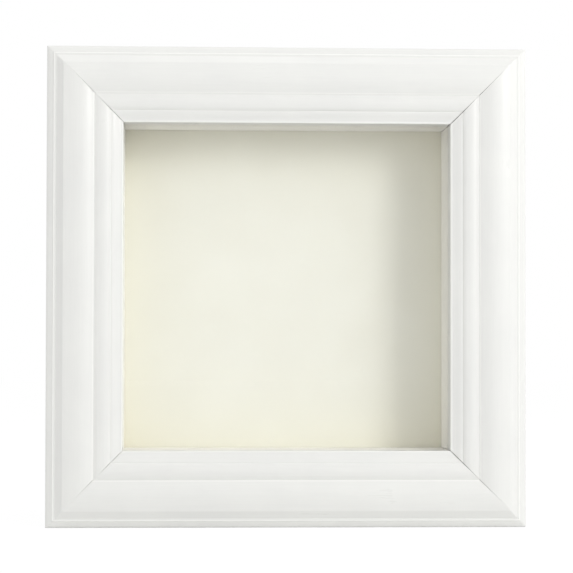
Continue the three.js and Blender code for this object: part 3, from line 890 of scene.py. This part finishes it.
buttons = ["left_upper", "left_lower", "right_upper", "right_lower"]
for button, slotTurn in zip(buttons, turnScrew["slotTurns"]):
    node = "turn_button_" + button
    joint = next(j for j in frame["joints"] if j["child"] == node)
    pivot = np.array(joint["pos_m"]) / mm
    seat = boxOf(node)[0][1]
    up = 1 if button.endswith("upper") else -1  # the tip points up or down the rail
    mesh = buttonMesh("turnButton" + titled(button), pivot, seat, up)
    addPiece(mesh.name, mesh, finishes["plate"], node, [node])
    node = "turn_screw_" + button
    low, high = boxOf(node)
    underHead = high[1] - turnScrew["headHeight"]
    mesh = screwMesh("turnScrew" + titled(button), pivot, underHead, low[1], slotTurn)
    addPiece(mesh.name, mesh, finishes["screw"], "frame", [node])
print("turn buttons and screws made:", len(buttons))


# Hanger, its nails and the bumpers

hanger = {
    "thickness": 1.0, "tabLength": 8.5, "rampLength": 2.5, "rampEase": 0.5, "cornerRadius": 2.5,
    "standoff": 1.8, "teeth": 10, "toothPitch": 2.2, "toothDepth": 1.9, "edge": 0.12, "nailInset": 4.2,
    "hole": 0.95,
}
hangerNail = {
    "tip": 0.03, "shank": 0.7, "pointLength": 2.0,
    # Radius and height of the head's outline over the end of the shank
    "head": ((1.45, 0), (1.65, 0.08), (1.7, 0.28), (1.62, 0.44), (1.2, 0.57), (0.05, 0.6)),
}
rubberBumper = {
    "endRadius": 2.6, "rimWidth": 0.3, "rimHeights": (0.15, 0.4), "shoulderFrom": 8,
}


def hangerMesh():
    # A strip carried along X. Its lower and upper edges are functions of X: round corners at the tabs
    # and a zigzag under the middle. The strip steps off the rail along two soft ramps.
    h = hanger
    low, high = boxOf("sawtooth_hanger")
    middle = (low + high) / 2
    x, z = (high - low)[[0, 2]] / 2
    r = h["cornerRadius"]
    corner = x - r + r * np.sin(np.radians(np.linspace(0, 90, 8)))
    toothEnd = h["teeth"] * h["toothPitch"] / 2
    zigzag = np.linspace(-toothEnd, toothEnd, 2 * h["teeth"] + 1)  # the teeth's tips and feet
    rampOut = x - h["tabLength"]
    ramps = np.linspace(rampOut - h["rampLength"] - h["rampEase"], rampOut + h["rampEase"], 12)
    columns = np.unique(np.round(np.concatenate([corner, -corner, zigzag, ramps, -ramps]), 4))
    past = np.clip(np.abs(columns) - (x - r), 0, r)
    halfWidth = z - r + np.sqrt(np.maximum(r * r - past * past, 0))
    toothPhase = np.abs(((columns + toothEnd) / h["toothPitch"] + 0.5) % 1 - 0.5) * 2
    teeth = np.where(np.abs(columns) <= toothEnd + 1e-6, h["toothDepth"] * toothPhase, 0)
    lower, upper = teeth - halfWidth, halfWidth
    base = low[1] + h["standoff"] * smoothStep((rampOut - np.abs(columns)) / h["rampLength"])
    t, e = h["thickness"], h["edge"]
    inner = np.linspace(0.1, 0.9, 6)  # shares of the way between the edges
    flat = np.zeros(len(inner))
    shares = np.array([0, 0, 0, *inner, 1, 1, 1, 1, *inner[::-1], 0])
    insets = np.array([0, 0, e, *flat, -e, 0, 0, -e, *flat, e])
    heights = np.array([e, t - e, t, *(flat + t), t, t - e, e, 0, *flat, 0])
    across = lower[:, None] + (upper - lower)[:, None] * shares + insets
    points = np.stack(np.broadcast_arrays(middle[0] + columns[:, None], base[:, None] + heights,
                                          middle[2] + across), axis=-1)
    mesh = makeMesh("sawtoothStrip", points, *prismFaces(*across.shape), sharpAngle=30)
    reach = x - h["nailInset"]
    holes = [rodCutter((side * reach, low[1] + t / 2, middle[2]), h["hole"], 4 * t) for side in (-1, 1)]
    return cutAway(mesh, holes, sharpAngle=30)


def nailMesh(name, node):
    # Turned about Y: a point, a plain shank and a small flat head with a rounded rim.
    n = hangerNail
    low, high = boxOf(node)
    headRadius, headHeight = np.array(n["head"]).T
    shankLength = high[1] - low[1] - headHeight[-1]
    radius = np.concatenate([[n["tip"], n["shank"], n["shank"]], headRadius])
    height = np.concatenate([[0, n["pointLength"], shankLength], shankLength + headHeight])
    centre = (low + high) / 2
    return turnedMesh(name, radius, height, (centre[0], low[1], centre[2]), steps=32)


def bumperMesh(name, node):
    # Turned about Y: a flat base with a fine rim, a quarter-ellipse shoulder and a flat end.
    b = rubberBumper
    low, high = boxOf(node)
    centre = (low + high) / 2
    full, end, tall = (high[0] - low[0]) / 2, b["endRadius"], high[1] - low[1]
    turn = np.radians(np.linspace(b["shoulderFrom"], 90, 16))
    radius = np.concatenate([[full - b["rimWidth"], full, full], end + (full - end) * np.cos(turn),
                             [end / 2]])
    height = np.concatenate([[0, *b["rimHeights"]], tall * np.sin(turn), [tall]])
    return turnedMesh(name, radius, height, (centre[0], low[1], centre[2]), steps=56)


addPiece("sawtoothStrip", hangerMesh(), finishes["plate"], "frame", ["sawtooth_hanger"])
for side in ("Left", "Right"):
    node = "hanger_nail_" + side.lower()
    mesh = nailMesh("hangerNail" + side, node)
    addPiece(mesh.name, mesh, finishes["nail"], "frame", [node])
    node = "bumper_" + side.lower()
    mesh = bumperMesh("rubberBumper" + side, node)
    addPiece(mesh.name, mesh, finishes["rubber"], "frame", [node])
print("hanger, nails and bumpers made")


# Stage, light and camera

stage = {
    "floorSize": 12.0, "floorColour": (0.9, 0.9, 0.9, 1), "cloudShare": 0.1, "shownShare": 0.85,
    "patchScale": 3.0, "toothScale": 400.0, "toothShare": 0.5,
    "ambient": 0.71, "background": 1.0, "floorGlow": 1.06,
}


def paleFloor():
    # The floor looks white where the camera, metal or glass sees it, and keeps a share of its shadows.
    material, tree, place = newMaterial("paleFloor")
    share = ranged(tree, clouded(tree, place, stage)[0], 0, stage["cloudShare"])
    colour = mixColours(tree, share, stage["floorColour"], (1, 1, 1, 1))
    matte = nodeIn(tree, "ShaderNodeBsdfDiffuse", {"Color": colour})
    glow = nodeIn(tree, "ShaderNodeEmission", {"Color": (1, 1, 1, 1), "Strength": stage["floorGlow"]})
    shown = computed(tree, "MULTIPLY", seenRays(tree), stage["shownShare"])
    mixed = nodeIn(tree, "ShaderNodeMixShader", {0: shown})
    tree.links.new(matte.outputs["BSDF"], mixed.inputs[1])
    tree.links.new(glow.outputs["Emission"], mixed.inputs[2])
    end = nodeIn(tree, "ShaderNodeOutputMaterial")
    tree.links.new(mixed.outputs["Shader"], end.inputs["Surface"])
    return material


def seenRays(tree):
    # One for rays from the camera, off metal or through glass, else nought.
    rays = nodeIn(tree, "ShaderNodeLightPath")
    seen = rays.outputs["Is Camera Ray"]
    for name in ("Is Glossy Ray", "Is Transmission Ray"):
        seen = computed(tree, "MAXIMUM", seen, rays.outputs[name])
    return seen


def whiteWorld():
    world = bpy.data.worlds.new("whiteWorld")
    world.use_nodes = True
    tree = world.node_tree
    tree.nodes.clear()
    seen = seenRays(tree)
    strength = ranged(tree, seen, stage["ambient"], stage["background"])
    sky = nodeIn(tree, "ShaderNodeBackground", {"Color": (1, 1, 1, 1), "Strength": strength})
    end = nodeIn(tree, "ShaderNodeOutputWorld")
    tree.links.new(sky.outputs["Background"], end.inputs["Surface"])
    scene.world = world


def softLamp(name, azimuth, elevation, distance, size, power, target):
    # A soft rectangular lamp. Azimuth 0 is in front of the frame, and 90 is to its right.
    a, e = math.radians(azimuth), math.radians(elevation)
    away = Vector((math.sin(a) * math.cos(e), -math.cos(a) * math.cos(e), math.sin(e)))
    data = bpy.data.lights.new(name, "AREA")
    data.shape = "RECTANGLE"
    data.size, data.size_y = size
    data.energy = power
    lamp = bpy.data.objects.new(name, data)
    scene.collection.objects.link(lamp)
    lamp.location = target + away * distance
    lamp.rotation_euler = away.to_track_quat("Z", "Y").to_euler()


# Each lamp's azimuth and elevation in degrees, its distance and size in metres, and its power in watts
lamps = {
    "keyLamp": (37, 18, 2.0, (0.5, 0.6), 8.7),
    "sideLamp": (76, 20, 2.0, (0.5, 0.8), 4.0),
    "fillLamp": (-40, 8, 2.0, (0.6, 0.6), 1.4),
    "topLamp": (5, 82, 2.0, (0.6, 0.6), 2.4),
}
windowCentre = Vector((0, 0, halfOuter * mm))
for name, (azimuth, elevation, distance, size, power) in lamps.items():
    softLamp(name, azimuth, elevation, distance, size, power, windowCentre)
whiteWorld()

floorHalf = stage["floorSize"] / 2
floorMesh = bpy.data.meshes.new("paleFloor")
corners = [(x * floorHalf, y * floorHalf, 0) for x, y in ((-1, -1), (1, -1), (1, 1), (-1, 1))]
floorMesh.from_pydata(corners, [], [(0, 1, 2, 3)])
floorMesh.materials.append(paleFloor())
floor = bpy.data.objects.new("paleFloor", floorMesh)
scene.collection.objects.link(floor)

# The camera's place in millimetres from the middle of the rails' back edge at the floor, its turns in
# degrees, and its lens
view = {
    "position": (-63.9, -1355.9, 103.4), "yaw": 2.79, "pitch": 1.60, "roll": 0.10,
    "lens": 141.05, "sensor": 36.0,
}
yaw, pitch, roll = (math.radians(view[key]) for key in ("yaw", "pitch", "roll"))
forward = Vector((math.sin(yaw) * math.cos(pitch), math.cos(yaw) * math.cos(pitch), math.sin(pitch)))
level = Vector((math.cos(yaw), -math.sin(yaw), 0))
upright = level.cross(forward)
right = level * math.cos(roll) + upright * math.sin(roll)
upward = right.cross(forward)
cameraData = bpy.data.cameras.new("camera")
cameraData.sensor_fit = "HORIZONTAL"
cameraData.sensor_width = view["sensor"]
cameraData.lens = view["lens"]
camera = bpy.data.objects.new("camera", cameraData)
scene.collection.objects.link(camera)
turned = Matrix((right, upward, -forward)).transposed().to_4x4()
place = Vector(view["position"]) + Vector((0, backFace, 0))
camera.matrix_world = Matrix.Translation(place * mm) @ turned
scene.camera = camera
scene.view_settings.view_transform = "Standard"
print("stage, lamps and camera set")
